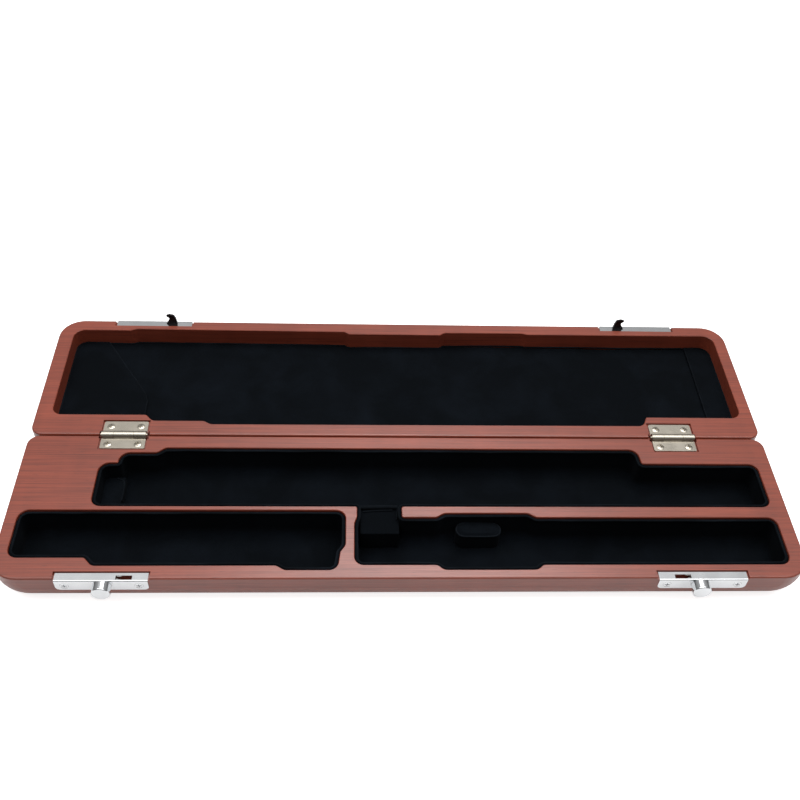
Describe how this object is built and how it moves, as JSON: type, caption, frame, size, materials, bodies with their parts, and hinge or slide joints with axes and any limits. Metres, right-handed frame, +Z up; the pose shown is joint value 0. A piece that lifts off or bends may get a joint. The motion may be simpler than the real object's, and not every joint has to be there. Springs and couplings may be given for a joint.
{
  "type": "flute case",
  "caption": "Flat hardwood flute case with velvet-lined pockets, a hinged lid, nickel butt hinges and sprung slide latches that catch hooks on the lid.",
  "frame": {"origin": "centre of the flat underside of the base, on the surface the case stands on", "axes": "+X to the right along the hinge line as seen from the latch side, +Y from the latches towards the hinges and the open lid, +Z up"},
  "size_m": [0.42, 0.1972, 0.0298],
  "materials": {
    "stained_wood": "satin",
    "velvet": "matte",
    "nickel_plated_steel": "satin",
    "polished_chrome": "polished",
    "bright_steel": "brushed",
    "blackened_steel": "satin"
  },
  "bodies": {
    "base": {"base_shell": "stained_wood", "tray_lining": "velvet", "foot_lining": "velvet", "tenon_rest": "velvet", "channel_saddle": "velvet", "lip_rest": "velvet", "hinge_base_leaf_left": "nickel_plated_steel", "hinge_pin_left": "nickel_plated_steel", "hinge_base_screws_left": "nickel_plated_steel", "hinge_base_leaf_right": "nickel_plated_steel", "hinge_pin_right": "nickel_plated_steel", "hinge_base_screws_right": "nickel_plated_steel", "lock_plate_left": "polished_chrome", "lock_screws_left": "polished_chrome", "bolt_guide_left": "bright_steel", "bolt_spring_left": "bright_steel", "lock_plate_right": "polished_chrome", "lock_screws_right": "polished_chrome", "bolt_guide_right": "bright_steel", "bolt_spring_right": "bright_steel"},
    "lid": {"lid_shell": "stained_wood", "lid_panel": "velvet", "lid_left_pad": "velvet", "lid_right_pad": "velvet", "hinge_lid_leaf_left": "nickel_plated_steel", "hinge_lid_screws_left": "nickel_plated_steel", "hinge_lid_leaf_right": "nickel_plated_steel", "hinge_lid_screws_right": "nickel_plated_steel", "hook_plate_left": "polished_chrome", "hook_left": "blackened_steel", "hook_screws_left": "polished_chrome", "hook_plate_right": "polished_chrome", "hook_right": "blackened_steel", "hook_screws_right": "polished_chrome"},
    "left_latch": {"bolt_left": "bright_steel", "knob_left": "polished_chrome"},
    "right_latch": {"bolt_right": "bright_steel", "knob_right": "polished_chrome"}
  },
  "joints": [
    {"name": "lid_hinge", "type": "hinge", "parent": "base", "child": "lid", "pos_m": [0, 0.0477, 0.0231], "axis": [1, 0, 0], "range_deg": [0, 180]},
    {"name": "left_latch_slide", "type": "slide", "parent": "base", "child": "left_latch", "axis": [-1, 0, 0], "range_m": [0, 0.0028], "stiffness_N_per_m": 300, "springref_m": -0.004, "deforming": ["bolt_spring_left"]},
    {"name": "right_latch_slide", "type": "slide", "parent": "base", "child": "right_latch", "axis": [1, 0, 0], "range_m": [0, 0.0028], "stiffness_N_per_m": 300, "springref_m": -0.004, "deforming": ["bolt_spring_right"]}
  ]
}
